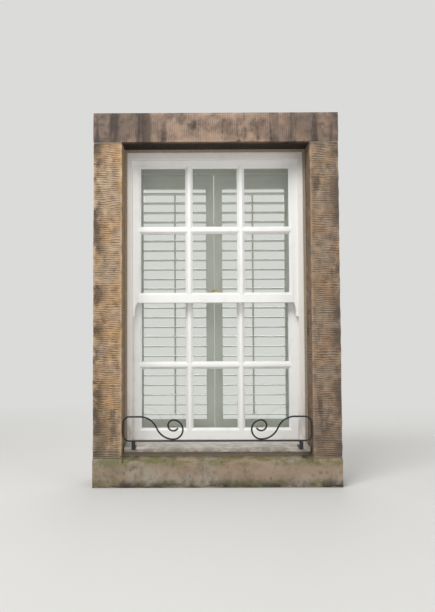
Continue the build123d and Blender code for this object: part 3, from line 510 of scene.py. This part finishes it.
class TimberSettings(bpy.types.PropertyGroup):
    paint: FloatVectorProperty(
        name="Sash paint", description="Gloss on the sashes", subtype="COLOR", size=4,
        default=srgb("#F1F1EF"),
    )
    case_paint: FloatVectorProperty(
        name="Case paint", description="Older gloss on the case", subtype="COLOR", size=4,
        default=srgb("#F3EEEA"),
    )
    shutter_paint: FloatVectorProperty(
        name="Shutter paint", description="Satin on the shutters", subtype="COLOR", size=4,
        default=srgb("#E6E7DE"),
    )
    grime: FloatVectorProperty(
        name="Grime", description="Street dirt on the paint", subtype="COLOR", size=4,
        default=srgb("#C9C3B8"),
    )
    easing: FloatProperty(
        name="Eased arris", description="Rounding of painted arrises", default=1.2 * MM, unit="LENGTH"
    )


class GlassSettings(bpy.types.PropertyGroup):
    tint: FloatVectorProperty(
        name="Tint", description="Colour of the glass", subtype="COLOR", size=4, default=srgb("#F4F7F4")
    )


class MetalSettings(bpy.types.PropertyGroup):
    brass: FloatVectorProperty(
        name="Brass", description="Polished brass", subtype="COLOR", size=4, default=srgb("#E3C98F")
    )
    tarnish: FloatVectorProperty(
        name="Tarnish", description="Dulled brass", subtype="COLOR", size=4, default=srgb("#A98A55")
    )
    rail_paint: FloatVectorProperty(
        name="Rail paint", description="Black paint on the rail", subtype="COLOR", size=4,
        default=srgb("#17181A"),
    )
    screw_radius: FloatProperty(
        name="Screw head radius", description="Radius of a screw's head", default=3 * MM, unit="LENGTH"
    )
    screw_inset: FloatProperty(
        name="Screw inset", description="From a screw to its plate's end", default=8 * MM, unit="LENGTH"
    )
    plate: FloatProperty(
        name="Plate", description="Thickness of the fastener's plate", default=3 * MM, unit="LENGTH"
    )
    lift_width: FloatProperty(
        name="Lift width", description="Width of one sash lift", default=40 * MM, unit="LENGTH"
    )
    lift_metal: FloatProperty(
        name="Lift metal", description="Thickness of a sash lift", default=4 * MM, unit="LENGTH"
    )


class CordSettings(bpy.types.PropertyGroup):
    segments: IntProperty(name="Sides", description="Sides of a cord's mesh", default=20, min=8)


class StageSettings(bpy.types.PropertyGroup):
    floor: FloatVectorProperty(
        name="Floor", description="Colour of the floor", subtype="COLOR", size=4, default=srgb("#D9D8D6")
    )
    backdrop: FloatVectorProperty(
        name="Backdrop", description="Colour behind the window", subtype="COLOR", size=4,
        default=srgb("#DBDBD9"),
    )
    focal_length: FloatProperty(
        name="Focal length", description="For a frame 36 mm high", default=40.14 * MM, unit="LENGTH"
    )


# Operators


def furrow(across, along, pitch, seed):
    """How deep a hand-cut furrow is at a place on the stone, from 0 to 1."""
    drift = 0.8 * noise.noise(Vector((across * 11, along * 16, seed)))
    wobble = 0.3 * noise.noise(Vector((across * 55, along * 45, seed + 7)))
    wave = 0.5 + 0.5 * math.cos(2 * math.pi * (along / pitch + drift + wobble))
    vigour = 0.85 + 0.9 * noise.noise(Vector((across * 38, along * 30, seed + 13)))
    return wave**1.2 * max(0.12, min(1.0, vigour))


def abs_low(low, high):
    """Least distance of a side piece from mid width."""
    return min(abs(low.x), abs(high.x))


def abs_high(low, high):
    """Greatest distance of a side piece from mid width."""
    return max(abs(low.x), abs(high.x))


class SASHWINDOW_OT_stone(bpy.types.Operator):
    """Tooled and weathered stones of the surround, with their mortar"""

    bl_idname = "sashwindow.stone"
    bl_label = "Stone surround"

    def execute(self, context):
        look = context.scene.sashwindow_stone
        jamb_left = sandstone(
            "tan_tooled_sandstone", "#BFA68B", "#C4A078", "#463A30", "#5A5048", (1, 1, 0.35), 0.03,
            [
                ("#3C3835", "X", 0.57, 0.64, 60, 0.85),
                ("#6E6458", "Z", 0.45, 0.2, 80, 0.7),
            ],
        )
        jamb_right = sandstone(
            "brown_tooled_sandstone", "#A28E7A", "#A5886C", "#40362F", "#544B43", (1, 1, 0.35), 0.05,
            [
                ("#4B4743", "X", 0.58, 0.65, 60, 0.8),
                ("#6A625A", "Z", 0.5, 0.2, 80, 0.8),
            ],
        )
        lintel = sandstone(
            "purplish_tooled_sandstone", "#7D6D61", "#947C6B", "#403733", "#363231", (1, 1, 0.1), 0.13,
            [
                ("#B89D88", "X", 0.42, 0.2, 70, 0.7),
                ("#4C4A49", "X", 0.45, 0.6, 120, 0.7),
            ],
        )
        sill = sandstone(
            "algae_stained_sandstone", "#A2988A", "#93836F", "#4C443C", "#5F5B52", (0.4, 1, 0.5), 0.06,
            [
                ("#A58E7B", "Z", 0.02, 0.08, 110, 0.65),
                ("#6D6F3E", "Z", 0.09, 0.135, 45, 0.75),
                ("#35312D", "Z", 0.045, 0.008, 70, 0.9),
                ("#5F6339", "Z", 0.05, 0.03, 60, 0.4),
            ],
        )
        self.weather("stone_jamb_left", jamb_left, look, self.jamb_depth, 2, 3.0, REVEAL_SHADE)
        self.weather("stone_jamb_right", jamb_right, look, self.jamb_depth, 2, 11.0, REVEAL_SHADE)
        self.weather("stone_lintel", lintel, look, self.lintel_depth, 0, 23.0, SOFFIT_SHADE)
        self.weather("stone_sill", sill, look, self.sill_depth, 0, 31.0, 0.0)
        mortar = plain_filler("lime_mortar", srgb("#A79C8B"), srgb("#7F7466"), 6, 1.0)
        dress(mortar, "mortar_joints")
        mastic = plain_filler("oil_mastic", srgb("#A89A88"), srgb("#6E6052"), 12, 0.8, 0.6)
        dress(mastic, "mastic_fillet")
        return {"FINISHED"}

    def weather(self, node, material, look, depth, fine_axis, seed, darkening):
        """Slice one stone finely along its length and sink its faces by their tooling and wear.

        The last argument is the share of painted shade given to the faces turned to the opening.
        """
        bm = cad_copy(node)
        low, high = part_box(node)
        slice_along(bm, fine_axis, look.slice_height)
        for axis in {0, 1, 2} - {fine_axis}:
            slice_along(bm, axis, COARSE_STEP)
        bmesh.ops.triangulate(bm, faces=[f for f in bm.faces if len(f.verts) > 4])
        bm.normal_update()
        # painted shade for each vertex: how deep it lies in a furrow, chip or pit, and how much it gets
        # for facing the opening
        painted_hollow_shade = bm.verts.layers.float.new("painted_hollow_shade")
        painted_reveal_shade = bm.verts.layers.float.new("painted_reveal_shade")
        for v in bm.verts:
            amount, shade = depth(v.co, v.normal, low, high, look, seed)
            v[painted_hollow_shade] = shade
            inward = -v.normal.z if fine_axis == 0 else -v.normal.x * math.copysign(1, v.co.x)
            if inward > FACING:
                v[painted_reveal_shade] = min(1.0, (v.co.y - low.y) / SHADE_REACH) * darkening
            v.co -= v.normal * amount
            for axis in range(3):
                v.co[axis] = min(max(v.co[axis], low[axis]), high[axis])
        make_piece(bm, node.replace("stone", "dressed"), material, "case", [node])

    def arris(self, distance, look, place, seed):
        """Loss near an arris, uneven along it."""
        near = max(0.0, 1 - distance / WEAR_REACH)
        rough = 0.55 + 0.75 * noise.noise(place * 22 + Vector((seed, 0, 0)))
        return near * near * max(0.1, rough) * look.arris_wear

    def rolling(self, place, seed):
        """Slow unevenness of a hand-dressed face."""
        return (0.5 + 0.5 * noise.noise(place * 9 + Vector((0, seed, 0)))) * ROLL_DEPTH

    def margin(self, distance, draft):
        """Share of the tooling's depth at a distance from an arris."""
        plain, fade = draft
        return min(1.0, max(0.0, (distance - plain) / fade))

    def jamb_depth(self, co, normal, low, high, look, seed):
        if abs(normal.z) > FACING or co.y > PLAIN_BEHIND:
            return 0.0, 0.0
        aside = min(abs(co.x) - abs_low(low, high), abs_high(low, high) - abs(co.x))
        front = co.y - low.y
        ends = min(co.z - low.z, high.z - co.z)
        margin = self.margin(max(aside, front), JAMB_DRAFT)
        depth = furrow(co.x + co.y, co.z, look.furrow_pitch, seed) * margin
        loss = self.arris(max(aside, front), look, co, seed) + self.arris(ends, look, co, seed + 5)
        return depth * look.furrow_depth + loss + self.rolling(co, seed), depth

    def lintel_depth(self, co, normal, low, high, look, seed):
        if normal.z > FACING or co.y > PLAIN_BEHIND:
            return 0.0, 0.0
        front = co.y - low.y
        height = min(co.z - low.z, high.z - co.z)
        margin = self.margin(max(height, front), LINTEL_DRAFT)
        over_jamb = abs(co.x) > LEVEL_TOOLING
        across, along = (co.x, co.z) if over_jamb else (co.z + co.y, co.x)
        depth = furrow(across, along, look.furrow_pitch * LINTEL_PITCH, seed) * margin
        loss = self.arris(max(height, front), look, co, seed)
        return depth * look.furrow_depth * LINTEL_DEPTH + loss + self.rolling(co, seed), depth * 0.7

    def sill_depth(self, co, normal, low, high, look, seed):
        if normal.z < -FACING or co.y > SILL_PLAIN_BEHIND:
            return 0.0, 0.0
        front = co.y - low.y
        height = min(co.z - low.z, high.z - co.z)
        loss = self.arris(max(height, front), look, co, seed)
        chips = noise.noise(Vector((co.x * 14, co.z * 20, seed)))
        foot = max(0.0, 1 - (co.z - low.z) / CHIP_HEIGHT)
        chipped = foot * max(0.0, chips - 0.05) * CHIP_DEPTH
        pits = max(0.0, noise.noise(co * 45) - 0.3) * PIT_DEPTH
        shade = min(1.0, pits / MM + chipped / CHIP_SHADE)
        return loss + chipped + pits + self.rolling(co, seed), shade


class SASHWINDOW_OT_case(bpy.types.Operator):
    """Painted timber case: sill, linings, pulley stiles and beads"""

    bl_idname = "sashwindow.case"
    bl_label = "Timber case"

    def execute(self, context):
        look = context.scene.sashwindow_timber
        upright = gloss_paint(
            "weathered_gloss_uprights", look.case_paint, look.grime, UPRIGHT,
            [
                ("#8F7560", "X", 0.478, 0.502, (1, 1, 0.12), 0.5),
                ("#8B837B", "Z", 0.5, 0.25, (1, 1, 0.3), 0.5),
            ],
        )
        level = gloss_paint(
            "weathered_gloss_head", look.case_paint, look.grime, LEVEL,
            [("#8F7560", "Z", 1.80, 1.835, (0.4, 1, 1), 0.7)],
        )
        sill = gloss_paint(
            "weathered_gloss_sill", look.grime, look.case_paint, LEVEL,
            [
                ("#857B73", "Z", 0.5, 0.22, (0.6, 1, 1), 0.6),
                # part dirt, part painted shade: the sill darkens towards its foot, most below the nose,
                # where the nose's shadow falls
                ("#8A7765", "Z", 0.2, 0.17, (0.6, 1, 1), 0.8),
            ],
        )
        inside = gloss_paint("gloss_paint_indoors", look.paint, look.grime, UPRIGHT)
        for node, material in (
            ("timber_sill", sill),
            ("outer_lining_left", upright),
            ("outer_lining_right", upright),
            ("outer_lining_head", level),
            ("inner_linings", inside),
            ("staff_beads", inside),
            ("parting_beads", upright),
            ("pulley_stile_left", upright),
            ("pulley_stile_right", upright),
            ("head_board", level),
        ):
            eased_piece(node, material, "case", look.easing)
        dress(upright, "pocket_pieces")
        dress(sawn_pine("sawn_pine"), "back_linings", "weight_dividers")
        return {"FINISHED"}


class SASHWINDOW_OT_sashes(bpy.types.Operator):
    """Stiles, rails and glazing bars of both sashes"""

    bl_idname = "sashwindow.sashes"
    bl_label = "Sashes"

    def execute(self, context):
        look = context.scene.sashwindow_timber
        upright = gloss_paint("gloss_paint_stiles", look.paint, look.grime, UPRIGHT)
        level = gloss_paint("gloss_paint_rails", look.paint, look.grime, LEVEL)
        rails = {"upper": "top_rail", "lower": "bottom_rail"}
        for sash, rail in rails.items():
            for part in ("stile_left", "stile_right", "vertical_bars"):
                eased_piece(f"{sash}_{part}", upright, f"{sash}_sash", look.easing)
            for part in ("cross_bars", "meeting_rail", rail):
                eased_piece(f"{sash}_{part}", level, f"{sash}_sash", look.easing)
        return {"FINISHED"}


class SASHWINDOW_OT_glass(bpy.types.Operator):
    """Panes of drawn glass"""

    bl_idname = "sashwindow.glass"
    bl_label = "Panes"

    def execute(self, context):
        glass = pane_glass("drawn_glass", context.scene.sashwindow_glass.tint)
        dress(glass, "upper_panes", "lower_panes")
        return {"FINISHED"}


class SASHWINDOW_OT_hardware(bpy.types.Operator):
    """Brass fastener, keeper, lifts, pulleys and their screws, and the iron weights"""

    bl_idname = "sashwindow.hardware"
    bl_label = "Hardware"

    def execute(self, context):
        look = context.scene.sashwindow_metal
        brass = cast_brass("polished_brass", look.brass, look.tarnish, 0.18)
        dull = cast_brass("pulley_brass", look.tarnish, look.brass, 0.35)
        dress(brass, "fastener_base", "fastener_lever", "fastener_keeper", "sash_lifts")
        dress(dull, "pulley_housings", "pulley_pins")
        iron = iron_finish("cast_iron", srgb("#3A3634"), srgb("#5E4334"), 0.6, 0.4, 0.6)
        for sash in ("upper", "lower"):
            for side in ("left", "right"):
                dress(dull, f"pulley_wheel_{sash}_{side}")
                dress(iron, f"weight_{sash}_{side}")
        self.screws(brass, look)
        return {"FINISHED"}

    def screws(self, brass, look):
        """Screws of the fastener, the lifts and the pulley plates, each slot left at its own angle."""
        low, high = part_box("fastener_base")
        middle, top = (low.y + high.y) / 2, low.z + look.plate
        ends = (low.x + look.screw_inset, high.x - look.screw_inset)
        spots = [(Vector((x, middle, top)), (0, 0, 1)) for x in ends]
        self.screw_set("fastener_screws", spots, brass, look.screw_radius, "lower_sash")
        low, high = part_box("sash_lifts")
        outer, inner = high.x - look.screw_inset, high.x - look.lift_width + look.screw_inset
        face, height = low.y + look.lift_metal, high.z - look.screw_inset
        spots = [
            (Vector((side * x, face, height)), (0, 1, 0)) for side in (-1, 1) for x in (outer, inner)
        ]
        self.screw_set("lift_screws", spots, brass, look.screw_radius, "lower_sash")
        low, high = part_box("pulley_housings")
        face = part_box("pulley_stile_right")[0].x
        wheels = [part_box(f"pulley_wheel_{sash}_right") for sash in ("upper", "lower")]
        tracks = [(corners[0].y + corners[1].y) / 2 for corners in wheels]
        spots = [
            (Vector((side * face, y, z)), (-side, 0, 0))
            for side in (-1, 1)
            for y in tracks
            for z in (low.z + look.screw_inset, high.z - look.screw_inset)
        ]
        self.screw_set("pulley_screws", spots, brass, look.screw_radius, "case")

    def screw_set(self, name, spots, material, radius, body):
        bm = bmesh.new()
        for count, (place, facing) in enumerate(spots):
            head = bmesh.new()
            screw_head(head, place, facing, radius, SLOT_TURN * count)
            mesh = bpy.data.meshes.new(name)
            head.to_mesh(mesh)
            head.free()
            bm.from_mesh(mesh)
            bpy.data.meshes.remove(mesh)
        make_piece(bm, name, material, body)


class SASHWINDOW_OT_cords(bpy.types.Operator):
    """Sash cords, from the pulleys to the sashes and the weights"""

    bl_idname = "sashwindow.cords"
    bl_label = "Sash cords"

    def execute(self, context):
        sides = context.scene.sashwindow_cord.segments
        cotton = braided_cotton("braided_cotton")
        dress(cotton, "cord_bends")
        for sash in ("upper", "lower"):
            node = f"cords_{sash}_sash_side"
            self.run(node, node.replace("cords", "braided"), cotton, (-1, 1), f"{sash}_sash", sides)
            node = f"cords_{sash}_weight_side"
            for side, name in ((-1, "left"), (1, "right")):
                piece = f"braided_{sash}_weight_side_{name}"
                self.run(node, piece, cotton, (side,), f"weight_{sash}_{name}", sides)
        return {"FINISHED"}

    def run(self, node, name, material, sides, body, segments):
        """Straight cords from a pulley to what moves, a ring at each end."""
        low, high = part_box(node)
        radius = (high.y - low.y) / 2
        bm = bmesh.new()
        for side in sides:
            centre = Vector((side * (high.x - radius), (low.y + high.y) / 2, (low.z + high.z) / 2))
            bmesh.ops.create_cone(
                bm,
                cap_ends=True,
                segments=segments,
                radius1=radius,
                radius2=radius,
                depth=high.z - low.z,
                matrix=Matrix.Translation(centre),
            )
        piece = make_piece(bm, name, material, None, [node])
        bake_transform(piece)


class SASHWINDOW_OT_shutters(bpy.types.Operator):
    """Louvred inner shutters with their frame and hinges"""

    bl_idname = "sashwindow.shutters"
    bl_label = "Shutters"

    def execute(self, context):
        look = context.scene.sashwindow_timber
        upright = gloss_paint("satin_paint_uprights", look.shutter_paint, look.grime, UPRIGHT)
        level = gloss_paint("satin_paint_louvres", look.shutter_paint, look.grime, LEVEL)
        steel = iron_finish("brushed_steel", srgb("#B9B9B8"), srgb("#8F8F8E"), 0.3, 1.0, 0.05)
        eased_piece("shutter_frame", upright, "case", look.easing)
        for side in ("left", "right"):
            panel = f"shutter_panel_{side}"
            eased_piece(panel, upright, f"shutter_{side}", look.easing)
            dress(level, f"shutter_louvres_{side}")
        dress(steel, "shutter_hinges")
        return {"FINISHED"}


class SASHWINDOW_OT_rail(bpy.types.Operator):
    """Forged and painted rail with its scrolls"""

    bl_idname = "sashwindow.rail"
    bl_label = "Iron rail"

    def execute(self, context):
        look = context.scene.sashwindow_metal
        paint = iron_finish("painted_iron", look.rail_paint, srgb("#2B2A29"), 0.35, 0.0, 0.5)
        dress(paint, "window_rail")
        return {"FINISHED"}


class SASHWINDOW_OT_stage(bpy.types.Operator):
    """Pale floor and backdrop, soft light and the camera"""

    bl_idname = "sashwindow.stage"
    bl_label = "Stage"

    def execute(self, context):
        look = context.scene.sashwindow_stage
        scene = context.scene
        scene.view_settings.view_transform = "Standard"
        self.world(look)
        self.floor(look)
        for name, place, size, power in LAMPS:
            self.lamp(name, place, size, power)
        self.camera(look)
        return {"FINISHED"}

    def world(self, look):
        world = bpy.data.worlds.new("studio_world")
        bpy.context.scene.world = world
        world.use_nodes = True
        tree = world.node_tree
        plain = tree.nodes["Background"]
        plain.inputs["Color"].default_value = look.backdrop
        plain.inputs["Strength"].default_value = WORLD_STRENGTH
        seen = add(tree, "ShaderNodeBackground", {"Color": look.backdrop, "Strength": 1.0})
        path = add(tree, "ShaderNodeLightPath").outputs
        direct = path["Is Camera Ray"]
        for kind in ("Is Glossy Ray", "Is Transmission Ray"):
            direct = maths(tree, "MAXIMUM", direct, path[kind])
        surface = surface_between(tree, direct, plain, seen)
        tree.links.new(surface, tree.nodes["World Output"].inputs["Surface"])

    def floor(self, look):
        material, tree, shader = new_material("pale_floor")
        shader.inputs["Base Color"].default_value = look.floor
        shader.inputs["Roughness"].default_value = 0.95
        shader.inputs["Specular IOR Level"].default_value = 0.1
        # far from the window the floor fades into the backdrop, so that no horizon shows
        place = add(tree, "ShaderNodeTexCoord").outputs["Object"]
        reach = add(tree, "ShaderNodeVectorMath", None, {0: place}, operation="LENGTH").outputs["Value"]
        glow = add(tree, "ShaderNodeEmission", {"Color": look.backdrop, "Strength": 1.0})
        surface = surface_between(tree, ramp(tree, reach, FADE_START, FADE_END), shader, glow)
        tree.links.new(surface, tree.nodes["Material Output"].inputs["Surface"])
        bm = bmesh.new()
        bmesh.ops.create_grid(bm, x_segments=1, y_segments=1, size=FLOOR_SIZE)
        bmesh.ops.translate(bm, verts=bm.verts, vec=(0, 0, cad_box[0].z - 1 * MM))
        mesh = bpy.data.meshes.new("floor")
        bm.to_mesh(mesh)
        bm.free()
        mesh.materials.append(material)
        floor = bpy.data.objects.new("floor", mesh)
        bpy.context.scene.collection.objects.link(floor)

    def lamp(self, name, place, size, power):
        light = bpy.data.lights.new(name, "AREA")
        light.size = size
        light.energy = power
        lamp = bpy.data.objects.new(name, light)
        bpy.context.scene.collection.objects.link(lamp)
        lamp.location = place
        aim = Vector(LAMP_TARGET) - Vector(place)
        lamp.rotation_euler = aim.to_track_quat("-Z", "Y").to_euler()
        lamp.visible_camera = False
        lamp.visible_transmission = False

    def camera(self, look):
        data = bpy.data.cameras.new("camera")
        data.sensor_fit = "VERTICAL"
        data.sensor_height = SENSOR_HEIGHT
        data.lens = look.focal_length / MM
        data.shift_x = CAMERA_SHIFT
        camera = bpy.data.objects.new("camera", data)
        bpy.context.scene.collection.objects.link(camera)
        yaw, pitch, roll = (math.radians(turn) for turn in (CAMERA_YAW, CAMERA_PITCH, CAMERA_ROLL))
        level_ahead = Vector((math.sin(yaw), math.cos(yaw), 0))
        ahead = level_ahead * math.cos(pitch) + Vector((0, 0, math.sin(pitch)))
        right = Vector((math.cos(yaw), -math.sin(yaw), 0))
        up = right.cross(ahead)
        level = right * math.cos(roll) + up * math.sin(roll)
        upright = up * math.cos(roll) - right * math.sin(roll)
        turn = Matrix((level, upright, -ahead)).transposed().to_4x4()
        camera.matrix_world = Matrix.Translation(CAMERA_PLACE) @ turn
        bpy.context.scene.camera = camera


OPERATORS = (
    SASHWINDOW_OT_stone,
    SASHWINDOW_OT_case,
    SASHWINDOW_OT_sashes,
    SASHWINDOW_OT_glass,
    SASHWINDOW_OT_hardware,
    SASHWINDOW_OT_cords,
    SASHWINDOW_OT_shutters,
    SASHWINDOW_OT_rail,
    SASHWINDOW_OT_stage,
)

SETTINGS = {
    "sashwindow_stone": StoneSettings,
    "sashwindow_timber": TimberSettings,
    "sashwindow_glass": GlassSettings,
    "sashwindow_metal": MetalSettings,
    "sashwindow_cord": CordSettings,
    "sashwindow_stage": StageSettings,
}


class SASHWINDOW_PT_panel(bpy.types.Panel):
    """Settings and steps of the sash window"""

    bl_idname = "SASHWINDOW_PT_panel"
    bl_label = "Sash Window"
    bl_space_type = "VIEW_3D"
    bl_region_type = "UI"
    bl_category = "Sash Window"

    def draw(self, context):
        for name, group in SETTINGS.items():
            box = self.layout.box()
            for prop in group.__annotations__:
                box.prop(getattr(context.scene, name), prop)
        for operator in OPERATORS:
            self.layout.operator(operator.bl_idname)


def register():
    for group in SETTINGS.values():
        bpy.utils.register_class(group)
    for name, group in SETTINGS.items():
        setattr(bpy.types.Scene, name, PointerProperty(type=group))
    for operator in OPERATORS:
        bpy.utils.register_class(operator)
    bpy.utils.register_class(SASHWINDOW_PT_panel)


def unregister():
    bpy.utils.unregister_class(SASHWINDOW_PT_panel)
    for operator in reversed(OPERATORS):
        bpy.utils.unregister_class(operator)
    for name in SETTINGS:
        delattr(bpy.types.Scene, name)
    for group in SETTINGS.values():
        bpy.utils.unregister_class(group)


def main():
    """Build the dressed window."""
    register()
    for operator in OPERATORS:
        group, name = operator.bl_idname.split(".")
        getattr(getattr(bpy.ops, group), name)()


if __name__ == "__main__":
    main()
